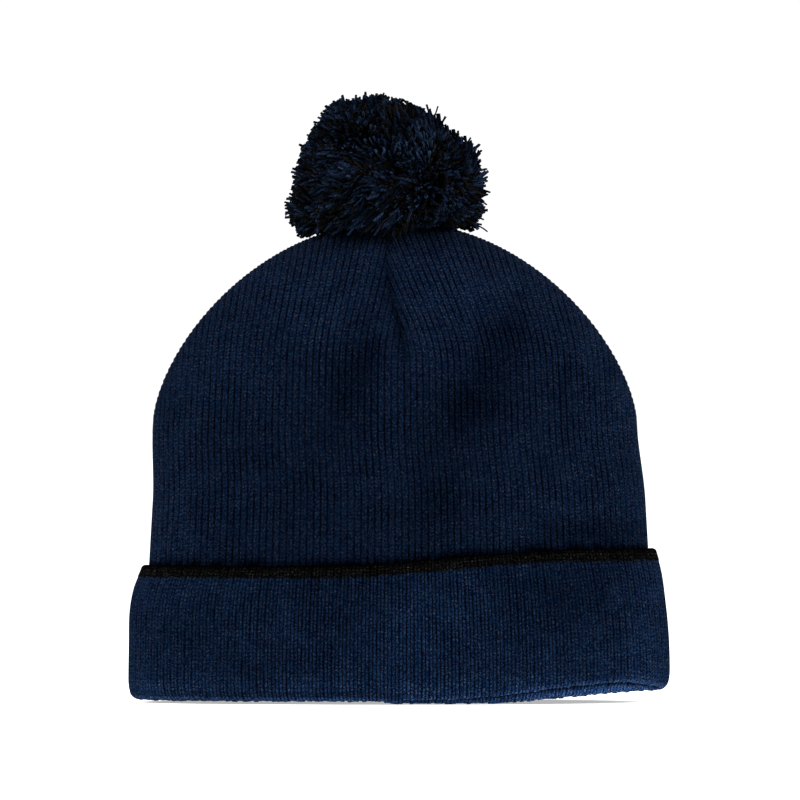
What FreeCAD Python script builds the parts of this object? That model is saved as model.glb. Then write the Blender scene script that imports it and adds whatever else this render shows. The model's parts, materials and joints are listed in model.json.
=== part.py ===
import FreeCAD, Part

import math
import os

# Knitted beanie with a turned-up cuff and a yarn pom, in millimetres.
# The hat stands on the fold at the bottom of its cuff, softly opened, with its front facing -Y.
# Origin: on the ground under the middle of the hat. +X is the hat's width, +Z is up.
#
# Every level section of the tube, crown and cuff is an ellipse, and an inner wall's half width and half
# depth are both one fabric's thickness less than its outer wall's.

# Fabric
fabric = 2.6  # thickness of one layer of ribbed knit

# Cuff: the outer, turned-up layer and the fold that the hat stands on
cuff_half_width = 117.6  # widest, just above the fold
cuff_half_depth = 49.6
cuff_lean = math.radians(5.5)  # inward slope of the cuff's side
cuff_corner = 4.2  # outer radius of the bottom fold
fold_height = 6.0  # the two layers part above this
opening_corner = 1.8  # inner radius of the bottom fold
flat_trim = 0.15  # trimmed from under the fold, so that the hat stands on a flat ring
cuff_height = 61.4  # top edge, at the middle of the hat
cuff_rise = math.radians(1.5)  # the top edge climbs towards +X
tipping_height = 5.0  # black courses along the top edge

# Knitted tube and crown, measured on the outside of the fabric
tube_half_width = 111.6  # at the top of the fold
tube_half_depth = 45.0
width_lean = math.radians(3.25)  # inward slope of the sides
depth_lean = math.radians(1.6)  # inward slope of the front and back
shoulder_height = 124.0  # where the tube starts to close
crown_height = 209.3  # the closed top
width_power = 1.63  # how the crown closes: a low power starts early, a high one stays full
depth_power = 2.6
crown_sections = 10
crown_cap = 0.9985  # the last section, as a share of the crown's rise

# Seams inside the hat
seam_gap = 0.05  # keeps a seam just off the fabric it is sewn to
dart_depth = 3.0
dart_width = 2.4
dart_foot = 148.0
dart_clear_radius = 9.0  # the darts stop short of the middle of the crown
back_seam_width = 6.0
back_seam_depth = 1.5
back_seam_top = 147.0

# Care label, hanging flat inside the back
label_width = 24.0
label_height = 38.0
label_thickness = 0.8
label_top = 118.0
label_gap = 1.0
stitch_radius = 0.4
stitch_length = 0.9

# Pom and the thread that holds it
pom_x = -4.0  # the pom sits slightly to one side
pom_radius = 41.5
pom_underside = 4.5  # above the crown
pom_corner = 4.0
pom_side_radius = 90.0
pom_side_turn = math.radians(15.0)
pom_shoulder_radius = 24.0
pom_shoulder_turn = math.radians(62.0)
gores = 12  # half of them navy, half black
gore_gap = 0.2
core_radius = 4.2
core_height = 26.0
tie_room = 7.2
tie_room_low = 18.0
tie_room_high = 23.5
tie_ring_radius = 5.6
tie_thread_radius = 1.0
thread_radius = 1.4
thread_hole_radius = 2.2
pivot_rise = 1.4  # the pom rocks about a point this far above the crown
shank_knot_radius = 1.5
thread_drop = 9.0  # thread below the crown's outer surface
thread_knot = 2.4
rocking_gap = 0.3
gather_radius = 4.4
gather_thread = 0.8
anchor_radius = 3.3
anchor_thread = 1.5
anchor_drop = 5.2

beyond = 10.0  # how far a cutting solid runs past what it cuts
big = 400.0
centre = FreeCAD.Vector(0, 0, 0)
up = FreeCAD.Vector(0, 0, 1)


def point(radius, height):
    return FreeCAD.Vector(radius, 0, height)


def arc_edge(radius, height, arc_radius, start, end):
    """A convex arc in the XZ plane, from one lean to another, and the point where it ends."""

    def at(lean):
        inward = arc_radius * (math.cos(start) - math.cos(lean))
        rise = arc_radius * (math.sin(lean) - math.sin(start))
        return point(radius - inward, height + rise)

    last = at(end)
    return Part.Arc(point(radius, height), at((start + end) / 2), last).toShape(), last


def turned(edges):
    """The solid swept by a closed outline in the XZ plane, turned about Z."""
    return Part.Face(Part.Wire(edges)).revolve(centre, up, 360)


def flattened(shape, ratio):
    matrix = FreeCAD.Matrix()
    matrix.scale(1, ratio, 1)
    return shape.transformGeometry(matrix)


def dome_outline(edges, corner, arcs):
    """Adds arcs that lean in more and more to an outline, and a last one that meets the axis square on."""
    lean = 0.0
    for arc_radius, turn in arcs:
        edge, corner = arc_edge(corner.x, corner.z, arc_radius, lean, turn)
        edges.append(edge)
        lean = turn
    top_radius = corner.x / math.cos(lean)
    edge, top = arc_edge(corner.x, corner.z, top_radius, lean, math.pi / 2)
    edges.append(edge)
    return edges, point(0, top.z)


def tube_section(inset, height):
    """The ellipse of the tube or crown at a height, this far inside the fabric's outer surface."""
    top = crown_height - inset
    share = max(0.0, (height - shoulder_height) / (top - shoulder_height))
    fall = height - fold_height
    width = tube_half_width - inset - fall * math.tan(width_lean)
    depth = tube_half_depth - inset - fall * math.tan(depth_lean)
    width *= math.sqrt(1 - share**width_power)
    depth *= math.sqrt(1 - share**depth_power)
    return Part.Wire(Part.Ellipse(point(0, height), width, depth).toShape())


def tube_solid(inset):
    """Everything inside the tube and crown, with its surface this far inside the outer one."""
    rise = crown_height - inset - shoulder_height
    shares = [math.sin(math.pi / 2 * step / crown_sections) for step in range(crown_sections)]
    sections = [tube_section(inset, shoulder_height + rise * share) for share in shares + [crown_cap]]
    tube = Part.makeLoft([tube_section(inset, fold_height), sections[0]], True, True)
    return tube.fuse(Part.makeLoft(sections, True, False))


def cuff_width(inset, height):
    """Half width of the cuff's wall, this far inside its outer surface, at a height."""
    lean = math.tan(cuff_lean)
    return cuff_half_width - inset / math.cos(cuff_lean) - (height - cuff_corner) * lean


def cuff_ratio(inset):
    return (cuff_half_depth - inset) / (cuff_half_width - inset)


def cuff_block():
    """The outside of the cuff, filled in, with the fold's round outer corner."""
    arc_centre = cuff_half_width - cuff_corner
    arc_height = cuff_corner - flat_trim
    inward = (math.cos(cuff_lean), math.sin(cuff_lean))
    halfway = (cuff_lean - math.pi / 2) / 2
    foot = point(arc_centre, -flat_trim)
    waist = point(
        arc_centre + cuff_corner * math.cos(halfway),
        arc_height + cuff_corner * math.sin(halfway),
    )
    side = point(
        arc_centre + cuff_corner * inward[0],
        arc_height + cuff_corner * inward[1],
    )
    top_height = cuff_height + beyond
    top = point(side.x - (top_height - side.z) * math.tan(cuff_lean), top_height)
    edges = [
        Part.Arc(foot, waist, side).toShape(),
        Part.makeLine(side, top),
        Part.makeLine(top, point(0, top_height)),
        Part.makeLine(point(0, top_height), point(0, foot.z)),
        Part.makeLine(point(0, foot.z), foot),
    ]
    return flattened(turned(edges), cuff_ratio(0))


def cuff_room():
    """What the cuff's outer layer surrounds, above the fold."""
    top_height = cuff_height + 2 * beyond
    low = point(cuff_width(fabric, fold_height), fold_height)
    high = point(cuff_width(fabric, top_height), top_height)
    edges = [
        Part.makeLine(low, high),
        Part.makeLine(high, point(0, top_height)),
        Part.makeLine(point(0, top_height), point(0, fold_height)),
        Part.makeLine(point(0, fold_height), low),
    ]
    return flattened(turned(edges), cuff_ratio(fabric))


def opening_mouth():
    """The head opening through the fold, with the fold's round inner corner."""
    inner = tube_half_width - fabric
    start = point(inner + opening_corner, -beyond)
    low = point(inner + opening_corner, -flat_trim)
    bend = opening_corner * (1 - math.sqrt(0.5))
    middle = point(inner + bend, bend - flat_trim)
    high = point(inner, opening_corner - flat_trim)
    top = point(inner, fold_height + beyond)
    edges = [
        Part.makeLine(start, low),
        Part.Arc(low, middle, high).toShape(),
        Part.makeLine(high, top),
        Part.makeLine(top, point(0, top.z)),
        Part.makeLine(point(0, top.z), point(0, start.z)),
        Part.makeLine(point(0, start.z), start),
    ]
    ratio = (tube_half_depth - fabric) / (tube_half_width - fabric)
    return flattened(turned(edges), ratio)


def above(height):
    """A large block above the slanting plane that the cuff's top edge lies in."""
    block = Part.makeBox(big, big, big, FreeCAD.Vector(-big / 2, -big / 2, height))
    block.rotate(point(0, height), FreeCAD.Vector(0, 1, 0), -math.degrees(cuff_rise))
    return block


def slab(x_low, x_high, y_low, y_high, z_low, z_high):
    size = (x_high - x_low, y_high - y_low, z_high - z_low)
    return Part.makeBox(*size, FreeCAD.Vector(x_low, y_low, z_low))


def rod(radius, height, x, z):
    return Part.makeCylinder(radius, height, FreeCAD.Vector(x, 0, z))


def ring(ring_radius, thread, x, z):
    return Part.makeTorus(ring_radius, thread, FreeCAD.Vector(x, 0, z))


def seam_on_wall(depth, region):
    """A strip that stands off the inner wall by a depth, kept inside a region."""
    outer = tube_solid(fabric + seam_gap)
    inner = tube_solid(fabric + seam_gap + depth)
    return outer.common(region).cut(inner)


def knit_shell():
    hole = rod(thread_hole_radius, 2 * beyond, pom_x, crown_height - beyond)
    return tube_solid(0).cut(tube_solid(fabric)).cut(hole)


def cuff_layers():
    """The cuff in its two yarns: the band with its fold, and the tipping along its top edge."""
    standing = slab(-big / 2, big / 2, -big / 2, big / 2, 0, big / 2)
    wall = cuff_block().cut(cuff_room()).cut(opening_mouth()).common(standing)
    band = wall.cut(above(cuff_height - tipping_height))
    tipping = wall.common(above(cuff_height - tipping_height)).cut(above(cuff_height))
    return band, tipping


def dart_seams():
    """Four sewn ridges inside the crown, one on each side of the hat."""
    half = dart_width / 2
    far = big / 2
    middle = rod(dart_clear_radius, 4 * beyond, pom_x, crown_height - 3 * beyond)
    regions = {
        "front": slab(-half, half, -far, 0, dart_foot, crown_height),
        "back": slab(-half, half, 0, far, dart_foot, crown_height),
        "left": slab(-far, 0, -half, half, dart_foot, crown_height),
        "right": slab(0, far, -half, half, dart_foot, crown_height),
    }
    return {side: seam_on_wall(dart_depth, region).cut(middle) for side, region in regions.items()}


def back_seam():
    half = back_seam_width / 2
    low = fold_height + seam_gap
    return seam_on_wall(back_seam_depth, slab(-half, half, 0, big / 2, low, back_seam_top))


def label_face():
    """Y of the care label's outer face: it hangs straight, clear of the back seam."""
    wall = tube_half_depth - (label_top - fold_height) * math.tan(depth_lean)
    return wall - fabric - back_seam_depth - label_gap


def care_label():
    face = label_face()
    half = label_width / 2
    return slab(-half, half, face - label_thickness, face, label_top - label_height, label_top)


def label_stitching():
    """Two rows of thread through the label's top, into the back seam."""
    face = label_face()
    stitches = []
    for row in (2.0, 5.0):
        for x in (-1.5, 1.5):
            start = FreeCAD.Vector(x, face, label_top - row)
            stitches.append(Part.makeCylinder(stitch_radius, stitch_length, start, FreeCAD.Vector(0, 1, 0)))
    return Part.makeCompound(stitches)


def pom_outline(underside):
    """One side of the pom in section, hollow at the core for its thread and tie."""
    low = point(pom_radius - pom_corner, underside)
    side = point(pom_radius, underside + pom_corner)
    bend = pom_corner * (1 - math.sqrt(0.5))
    corner = point(pom_radius - bend, underside + bend)
    arcs = [(pom_side_radius, pom_side_turn), (pom_shoulder_radius, pom_shoulder_turn)]
    edges, top = dome_outline([Part.Arc(low, corner, side).toShape()], side, arcs)
    core = [
        top,
        point(0, underside + core_height),
        point(core_radius, underside + core_height),
        point(core_radius, underside + tie_room_high),
        point(tie_room, underside + tie_room_high),
        point(tie_room, underside + tie_room_low),
        point(core_radius, underside + tie_room_low),
        point(core_radius, underside),
        low,
    ]
    for start, end in zip(core, core[1:]):
        edges.append(Part.makeLine(start, end))
    return edges


def pom_gore(underside, number):
    """One wedge of the yarn ball, set out a hair from the axis so that no two touch."""
    span = 360 / gores
    face = Part.Face(Part.Wire(pom_outline(underside)))
    gore = face.revolve(centre, up, span)
    gore.rotate(centre, up, number * span)
    middle = math.radians((number + 0.5) * span)
    gore.translate(FreeCAD.Vector(pom_x + gore_gap * math.cos(middle), gore_gap * math.sin(middle), 0))
    return gore


def pom_yarn(underside, first):
    return Part.makeCompound([pom_gore(underside, number) for number in range(first, gores, 2)])


def tie_thread(pivot):
    """The tie's ends through the crown, with the knot that stops them under the anchor stitches."""
    low = crown_height - thread_drop
    top = pivot - shank_knot_radius - rocking_gap
    knot = Part.makeSphere(thread_knot, FreeCAD.Vector(pom_x, 0, low))
    return rod(thread_radius, top - low, pom_x, low).fuse(knot)


def shank_knot(pivot):
    """The knot between crown and pom, which the pom rocks on."""
    return Part.makeSphere(shank_knot_radius, FreeCAD.Vector(pom_x, 0, pivot))


def pom_tie(pivot, underside):
    """The thread bound round the yarn at the middle of the pom, and the strand that hangs from it."""
    middle = underside + (tie_room_low + tie_room_high) / 2
    low = pivot + shank_knot_radius + rocking_gap
    loop = ring(tie_ring_radius, tie_thread_radius, pom_x, middle)
    start = FreeCAD.Vector(pom_x - tie_ring_radius, 0, middle)
    crossing = Part.makeCylinder(tie_thread_radius, 2 * tie_ring_radius, start, FreeCAD.Vector(1, 0, 0))
    return loop.fuse([crossing, rod(thread_radius, middle - low, pom_x, low)])


def build():
    pivot = crown_height + pivot_rise
    underside = crown_height + pom_underside
    band, tipping = cuff_layers()
    gather_height = crown_height + gather_thread + seam_gap
    nodes = {
        "knit_shell": knit_shell(),
        "cuff_band": band,
        "cuff_tipping": tipping,
        "back_seam": back_seam(),
        "care_label": care_label(),
        "label_stitching": label_stitching(),
        "crown_gather_thread": ring(gather_radius, gather_thread, pom_x, gather_height),
        "anchor_stitches": ring(anchor_radius, anchor_thread, pom_x, crown_height - anchor_drop),
        "tie_thread": tie_thread(pivot),
        "shank_knot": shank_knot(pivot),
        "pom_tie": pom_tie(pivot, underside),
        "pom_yarn_navy": pom_yarn(underside, 0),
        "pom_yarn_black": pom_yarn(underside, 1),
    }
    for side, seam in dart_seams().items():
        nodes["dart_seam_" + side] = seam
    return nodes


os.makedirs("parts", exist_ok=True)
for name, shape in build().items():
    print(name, shape.isValid(), len(shape.Solids), "solids", round(shape.Volume, 1), "mm3")
    shape.exportStep("parts/" + name + ".step")
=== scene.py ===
import collections
import itertools
import json
import math

import bmesh
import bpy
import numpy as np
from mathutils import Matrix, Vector


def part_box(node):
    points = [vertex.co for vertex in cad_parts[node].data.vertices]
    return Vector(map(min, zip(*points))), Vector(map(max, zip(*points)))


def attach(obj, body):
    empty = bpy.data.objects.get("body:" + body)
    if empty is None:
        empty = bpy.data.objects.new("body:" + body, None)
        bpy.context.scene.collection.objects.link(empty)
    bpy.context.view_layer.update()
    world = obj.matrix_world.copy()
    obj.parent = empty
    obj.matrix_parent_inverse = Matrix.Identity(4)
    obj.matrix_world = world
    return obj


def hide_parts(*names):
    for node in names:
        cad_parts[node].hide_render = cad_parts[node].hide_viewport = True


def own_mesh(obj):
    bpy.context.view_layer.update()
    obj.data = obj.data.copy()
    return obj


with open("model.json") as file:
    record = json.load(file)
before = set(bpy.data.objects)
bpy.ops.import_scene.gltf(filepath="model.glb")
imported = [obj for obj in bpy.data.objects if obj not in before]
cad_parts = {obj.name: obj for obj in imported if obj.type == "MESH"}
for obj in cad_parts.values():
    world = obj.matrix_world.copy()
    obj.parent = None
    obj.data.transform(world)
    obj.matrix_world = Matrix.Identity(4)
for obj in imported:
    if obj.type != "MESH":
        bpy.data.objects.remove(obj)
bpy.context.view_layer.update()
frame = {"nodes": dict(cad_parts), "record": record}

mm = 0.001
random = np.random.default_rng(7)

# ---- sizes, in metres, from the CAD frame

shell_low, shell_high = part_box("knit_shell")
band_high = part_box("cuff_band")[1]
pom_low, pom_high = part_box("pom_yarn_navy")
label_low, label_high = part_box("care_label")

fold_height = shell_low.z
crown_height = shell_high.z
tube_half_width = shell_high.x
tube_half_depth = shell_high.y
width_lean = math.tan(math.radians(3.25))
depth_lean = math.tan(math.radians(1.6))
shoulder_height = fold_height + 118 * mm
width_power = 1.63
depth_power = 2.6
section_power = 2.4  # 2 is an ellipse, more is flatter at the front and back

cuff_half_width = band_high.x
cuff_half_depth = band_high.y
cuff_layer = 2.4 * mm
cuff_widest = 8 * mm
cuff_pull = 5.6 * mm  # how much the cuff narrows towards its top edge
flare_side = 3.0 * mm  # how far the body's foot spreads to meet the inside of the cuff
flare_front = 1.8 * mm
body_foot = 6.5 * mm  # where the body's wall starts, above the cuff's underside

body_ribs = 166
stitch_row = 1.7 * mm
cuff_columns = 320
knit_thickness = 2.5 * mm


# ---- small helpers


def smooth(value):
    """0 up to 0, 1 from 1 on, and a smooth S between."""
    value = np.clip(value, 0.0, 1.0)
    return value * value * (3 - 2 * value)


def smooth_sum(value):
    """The running sum of smooth from 0, for a slope that grows and then holds."""
    inside = np.clip(value, 0.0, 1.0)
    return inside**3 - inside**4 / 2 + np.maximum(value - 1, 0.0)


def bump(value):
    return np.exp(-(value**2))


def unit(vectors):
    length = np.linalg.norm(vectors, axis=-1, keepdims=True)
    return vectors / np.maximum(length, 1e-12)


def stacked(*parts):
    """Coordinates spread to one shape and stacked into points."""
    return np.stack(np.broadcast_arrays(*parts), axis=-1)


def travel(lines):
    """The distance along each line at its points."""
    step = np.linalg.norm(np.diff(lines, axis=-2), axis=-1)
    return np.concatenate([np.zeros_like(step[..., :1]), np.cumsum(step, axis=-1)], axis=-1)


def in_scene(name, data):
    made = bpy.data.objects.new(name, data)
    bpy.context.scene.collection.objects.link(made)
    return made


def new_object(name, vertices, faces, material, uv=None, hollow=None):
    mesh = bpy.data.meshes.new(name)
    mesh.from_pydata(np.asarray(vertices).reshape(-1, 3).tolist(), [], faces)
    if uv is not None:
        layer = mesh.uv_layers.new(name="UVMap")
        loops = np.empty(len(mesh.loops), dtype=np.int32)
        mesh.loops.foreach_get("vertex_index", loops)
        layer.data.foreach_set("uv", np.asarray(uv).reshape(-1, 2)[loops].ravel())
    # the vertices' painted light and painted shade, which the knit and yarn materials multiply into their
    # colour
    if hollow is not None:
        light = mesh.attributes.new("hollow", "FLOAT", "POINT")
        light.data.foreach_set("value", np.asarray(hollow).ravel())
    mesh.polygons.foreach_set("use_smooth", [True] * len(mesh.polygons))
    mesh.materials.append(material)
    mesh.update()
    return in_scene(name, mesh)


def grid_faces(columns, rows, offset=0, flip=False, wrap_columns=False, wrap_rows=False):
    """Quads over vertices stored column by column."""
    faces = []
    for i in range(columns if wrap_columns else columns - 1):
        a, b = i * rows, (i + 1) % columns * rows
        for j in range(rows if wrap_rows else rows - 1):
            k = (j + 1) % rows
            quad = (a + k, b + k, b + j, a + j) if flip else (a + j, b + j, b + k, a + k)
            faces.append(tuple(offset + v for v in quad))
    return faces


def weld(made, distance):
    """Joins vertices that lie on each other, and drops the slivers that this leaves."""
    work = bmesh.new()
    work.from_mesh(made.data)
    bmesh.ops.remove_doubles(work, verts=work.verts, dist=distance)
    bmesh.ops.dissolve_degenerate(work, edges=work.edges, dist=distance / 2)
    work.to_mesh(made.data)
    work.free()
    made.data.update()


# ---- materials


class Maths:
    """A material's shader, and chains of nodes for it."""

    def __init__(self, material):
        self.tree = material.node_tree
        self.shader = self.tree.nodes["Principled BSDF"]

    def node(self, kind, **settings):
        made = self.tree.nodes.new(kind)
        for key, value in settings.items():
            setattr(made, key, value)
        return made

    def link(self, source, target):
        """Wires a socket to an input, or sets the input to a number or a colour."""
        if isinstance(source, (int, float)):
            target.default_value = source
        elif isinstance(source, tuple):
            target.default_value = (*source, 1)
        else:
            self.tree.links.new(source, target)

    def do(self, operation, *inputs):
        made = self.node("ShaderNodeMath", operation=operation)
        for source, target in zip(inputs, made.inputs):
            self.link(source, target)
        return made.outputs[0]

    def add(self, a, b):
        return self.do("ADD", a, b)

    def sub(self, a, b):
        return self.do("SUBTRACT", a, b)

    def mul(self, a, b):
        return self.do("MULTIPLY", a, b)

    def from_middle(self, count):
        """How far a count is from the middle of its unit, up to 0.5."""
        return self.do("ABSOLUTE", self.sub(self.do("FRACT", count), 0.5))

    def coordinates(self):
        """The place on the object, and the two parts of the UV."""
        made = self.node("ShaderNodeTexCoord")
        split = self.node("ShaderNodeSeparateXYZ")
        self.link(made.outputs["UV"], split.inputs[0])
        return made.outputs["Object"], split.outputs["X"], split.outputs["Y"]

    def hollow(self):
        """The painted light and painted shade that the vertices carry."""
        return self.node("ShaderNodeAttribute", attribute_name="hollow").outputs["Fac"]

    def ramp(self, value, low, high, out_low=0.0, out_high=1.0):
        made = self.node("ShaderNodeMapRange", interpolation_type="SMOOTHSTEP")
        inputs = {"Value": value, "From Min": low, "From Max": high, "To Min": out_low, "To Max": out_high}
        for name, source in inputs.items():
            self.link(source, made.inputs[name])
        return made.outputs["Result"]

    def noise(self, vector, scale, detail=2.0):
        made = self.node("ShaderNodeTexNoise")
        self.link(vector, made.inputs["Vector"])
        made.inputs["Scale"].default_value = scale
        made.inputs["Detail"].default_value = detail
        return made.outputs["Fac"]

    def mix(self, factor, first, second, blend_type="MIX"):
        """A colour between two, each a colour or a socket."""
        made = self.node("ShaderNodeMix", data_type="RGBA", blend_type=blend_type)
        self.link(factor, made.inputs["Factor"])
        self.link(first, made.inputs[6])
        self.link(second, made.inputs[7])
        return made.outputs[2]

    def dim(self, colour, factor):
        """A colour times a factor."""
        combined = self.node("ShaderNodeCombineColor")
        for channel in combined.inputs:
            self.link(factor, channel)
        return self.mix(1, colour, combined.outputs[0], blend_type="MULTIPLY")

    def finish(self, colour, height, distance):
        """Gives the shader its colour and, as bump, its relief."""
        self.link(colour, self.shader.inputs["Base Color"])
        made = self.node("ShaderNodeBump")
        made.inputs["Distance"].default_value = distance
        self.link(height, made.inputs["Height"])
        self.link(made.outputs["Normal"], self.shader.inputs["Normal"])


def start_material(name, roughness=0.95, specular=0.0, sheen=0.0):
    material = bpy.data.materials.new(name)
    material.use_nodes = True
    maths = Maths(material)
    inputs = maths.shader.inputs
    inputs["Sheen Weight"].default_value = sheen
    inputs["Sheen Roughness"].default_value = 0.3
    inputs["Sheen Tint"].default_value = (0.5, 0.65, 1.0, 1.0)
    inputs["Roughness"].default_value = roughness
    inputs["Specular IOR Level"].default_value = specular
    return material, maths


def knit_material(name, dark, light, painted_glint_colour, gap_shade, leg_shade, row_shade, sheen):
    """Knitting read from its UVs: u counts ribs, each two legs wide, and v counts stitch rows."""
    material, maths = start_material(name, sheen=sheen)
    place, rib, stitch = maths.coordinates()
    wander = maths.noise(place, 420.0)
    u = maths.add(rib, maths.mul(maths.sub(wander, 0.5), 0.20))
    from_rib = maths.from_middle(u)
    leg = maths.mul(u, 2.0)
    uneven = maths.noise(place, 200.0, 1.0)
    along = maths.sub(maths.add(stitch, uneven), from_rib)
    key = maths.node("ShaderNodeCombineXYZ")
    maths.link(maths.do("FLOOR", leg), key.inputs[0])
    maths.link(maths.do("FLOOR", along), key.inputs[1])
    white = maths.node("ShaderNodeTexWhiteNoise", noise_dimensions="3D")
    maths.link(key.outputs[0], white.inputs["Vector"])
    round_row = maths.ramp(maths.from_middle(along), 0.5, 0.12)
    round_leg = maths.ramp(maths.from_middle(leg), 0.5, 0.15)
    fluff = maths.ramp(maths.noise(place, 1500.0), 0.36, 0.68)
    fibre = maths.noise(place, 3600.0, 3.0)
    patches = maths.noise(place, 45.0, 3.0)
    tint = maths.add(maths.mul(white.outputs["Value"], 0.35), maths.mul(fluff, 0.75))
    tint = maths.add(tint, maths.mul(maths.sub(fibre, 0.5), 0.5))
    tint = maths.do("POWER", maths.do("MAXIMUM", tint, 0.0), 1.5)
    # painted highlights: scattered glints of a paler, greyer colour on the fibres
    painted_glint_mask = maths.ramp(maths.noise(place, 2300.0), 0.54, 0.74)
    colour = maths.mix(painted_glint_mask, maths.mix(tint, dark, light), painted_glint_colour)
    # painted shade in the gaps between ribs, between each rib's two legs and between stitch rows, stronger in
    # some patches than in others
    gap_here = maths.noise(place, 90.0, 6.0)
    gap_here = maths.ramp(gap_here, 0.38, 0.62, gap_shade * 0.4, gap_shade * 2.3)
    gaps = maths.ramp(from_rib, 0.5, 0.22, gap_here, 1.0)
    legs = maths.ramp(from_rib, 0.0, 0.17, leg_shade, 1.0)
    shade = maths.mul(maths.mul(gaps, legs), maths.ramp(round_row, 0.0, 1.0, row_shade, 1.0))
    shade = maths.mul(shade, maths.ramp(patches, 0.3, 0.7, 0.88, 1.12))
    # times the vertices' painted light and painted shade
    shade = maths.mul(shade, maths.hollow())
    height = maths.mul(round_row, maths.add(0.4, maths.mul(round_leg, 0.6)))
    height = maths.add(height, maths.mul(fibre, 0.5))
    maths.finish(maths.dim(colour, shade), height, 0.35 * mm)
    return material


def yarn_material(name, dark, light):
    """Loose plied yarn, shaded strand by strand: u counts strands, and v is the way along in millimetres."""
    material, maths = start_material(name)
    place, round_strand, along = maths.coordinates()
    white = maths.node("ShaderNodeTexWhiteNoise", noise_dimensions="1D")
    maths.link(maths.do("FLOOR", round_strand), white.inputs["W"])
    ply = maths.from_middle(maths.add(maths.mul(round_strand, 2.0), maths.mul(along, 0.45)))
    fibre = maths.noise(place, 2200.0, 3.0)
    blotch = maths.noise(place, 700.0)
    tint = maths.add(maths.mul(white.outputs["Value"], 0.45), maths.mul(maths.add(fibre, blotch), 0.48))
    tint = maths.do("POWER", tint, 2.1)
    # painted shade between the plies, times the strands' painted light and painted shade
    shade = maths.mul(maths.ramp(ply, 0.5, 0.25, 0.45, 1.0), maths.hollow())
    colour = maths.dim(maths.mix(tint, dark, light), shade)
    height = maths.add(maths.ramp(ply, 0.5, 0.1), maths.mul(fibre, 0.6))
    maths.finish(colour, height, 0.3 * mm)
    return material


def thread_material(name, dark, light):
    """Fine twisted thread, for the small pieces that keep their CAD shape."""
    material, maths = start_material(name)
    place = maths.coordinates()[0]
    wave = maths.node("ShaderNodeTexWave", bands_direction="DIAGONAL")
    maths.link(place, wave.inputs["Vector"])
    wave.inputs["Scale"].default_value = 700.0
    wave.inputs["Distortion"].default_value = 1.5
    relief = maths.add(wave.outputs["Fac"], maths.noise(place, 3000.0))
    colour = maths.mix(maths.mul(relief, 0.5), dark, light)
    maths.finish(colour, relief, 0.15 * mm)
    return material


def label_material():
    """Woven satin tape with a fine over-and-under weave and no lettering."""
    material, maths = start_material("label_satin", 0.45, 0.3)
    place, across, along = maths.coordinates()
    weft = maths.do("SINE", maths.mul(along, 2 * math.pi))
    warp = maths.do("SINE", maths.mul(across, 2 * math.pi))
    weave = maths.mul(weft, warp)
    tint = maths.add(maths.mul(weave, 0.25), maths.noise(place, 120.0))
    colour = maths.mix(tint, (0.62, 0.61, 0.58), (0.78, 0.77, 0.74))
    maths.finish(colour, weave, 0.06 * mm)
    return material


# The last colour of each knit is the colour of its painted glints; its gap, leg and row shades are painted
# shade.
navy_knit = knit_material(
    "navy_rib_knit",
    dark=(0.00005, 0.0012, 0.0074),
    light=(0.0019, 0.0082, 0.0222),
    painted_glint_colour=(0.0270, 0.0310, 0.0430),
    gap_shade=0.20, leg_shade=0.62, row_shade=0.64, sheen=0.02,
)
navy_cuff = knit_material(
    "navy_cuff_knit",
    dark=(0.00005, 0.0014, 0.0088),
    light=(0.0025, 0.0108, 0.0290),
    painted_glint_colour=(0.0280, 0.0340, 0.0500),
    gap_shade=0.24, leg_shade=0.32, row_shade=0.68, sheen=0.02,
)
black_knit = knit_material(
    "black_tipping_knit",
    dark=(0.00004, 0.00004, 0.0001),
    light=(0.0028, 0.0027, 0.0027),
    painted_glint_colour=(0.0230, 0.0220, 0.0210),
    gap_shade=0.2, leg_shade=0.3, row_shade=0.4, sheen=0.0,
)
navy_yarn = yarn_material("navy_pom_yarn", (0.0003, 0.0012, 0.0042), (0.0098, 0.0174, 0.0352))
black_yarn = yarn_material("black_pom_yarn", (0.0002, 0.0002, 0.0004), (0.0060, 0.0057, 0.0060))
navy_thread = thread_material("navy_thread", (0.0010, 0.0040, 0.0150), (0.0100, 0.0200, 0.0480))
label_thread = thread_material("label_thread", (0.45, 0.45, 0.43), (0.7, 0.7, 0.68))
label_satin = label_material()


# ---- the tube and crown as a surface

crease_foot = shoulder_height + 19 * mm  # where the front and back darts begin
crease_start = 4 * mm  # x of the dart's foot
crease_drift = 7.5 * mm  # the crease wanders this far to the left on its way up
right_lean = math.tan(math.radians(23))  # how the ribs beside the crease lean into it
left_lean = math.tan(math.radians(13))
lean_rise = 25 * mm  # height over which the lean builds up


def tube_line(height):
    """Half width and half depth of the tube if it never closed."""
    fall = height - fold_height
    return tube_half_width - fall * width_lean, tube_half_depth - fall * depth_lean


def foot_flare(height):
    """How far the body's foot has spread, from 0 above to 1 at the bottom."""
    return np.clip((30 * mm - height) / (24 * mm), 0, 1) ** 2


def outline(height):
    """Half width and half depth of the tube or crown at a height."""
    width, depth = tube_line(height)
    share = np.clip((height - shoulder_height) / (crown_height - shoulder_height), 0, 1)
    width = width * np.sqrt(1 - share**width_power)
    depth = depth * np.sqrt(1 - share**depth_power)
    flare = foot_flare(height)
    waist = bump((height - 60 * mm) / (16 * mm))
    return width + flare_side * flare, depth + flare_front * flare - 1.6 * mm * waist


def leftwards(height):
    """The body and crown stand a little to the left of the cuff."""
    return -1.8 * mm * smooth((height - 88 * mm) / (32 * mm))


def crease_x(height):
    start = crease_start * tube_line(height)[0] / tube_line(crease_foot)[0]
    return start - crease_drift * smooth((height - crease_foot - 7 * mm) / (42 * mm))


def column_x(place, height, side):
    """x of a rib column, from -1 to 1 across the tube. side is 1 right of the crease and -1 left of it."""
    lean = right_lean if side > 0 else left_lean
    taken = lean * lean_rise * smooth_sum((height - crease_foot) / lean_rise)
    away = np.abs(place - crease_start / tube_line(crease_foot)[0])
    return tube_line(height)[0] * place - side * taken * (1 - 0.6 * smooth(away))


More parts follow.
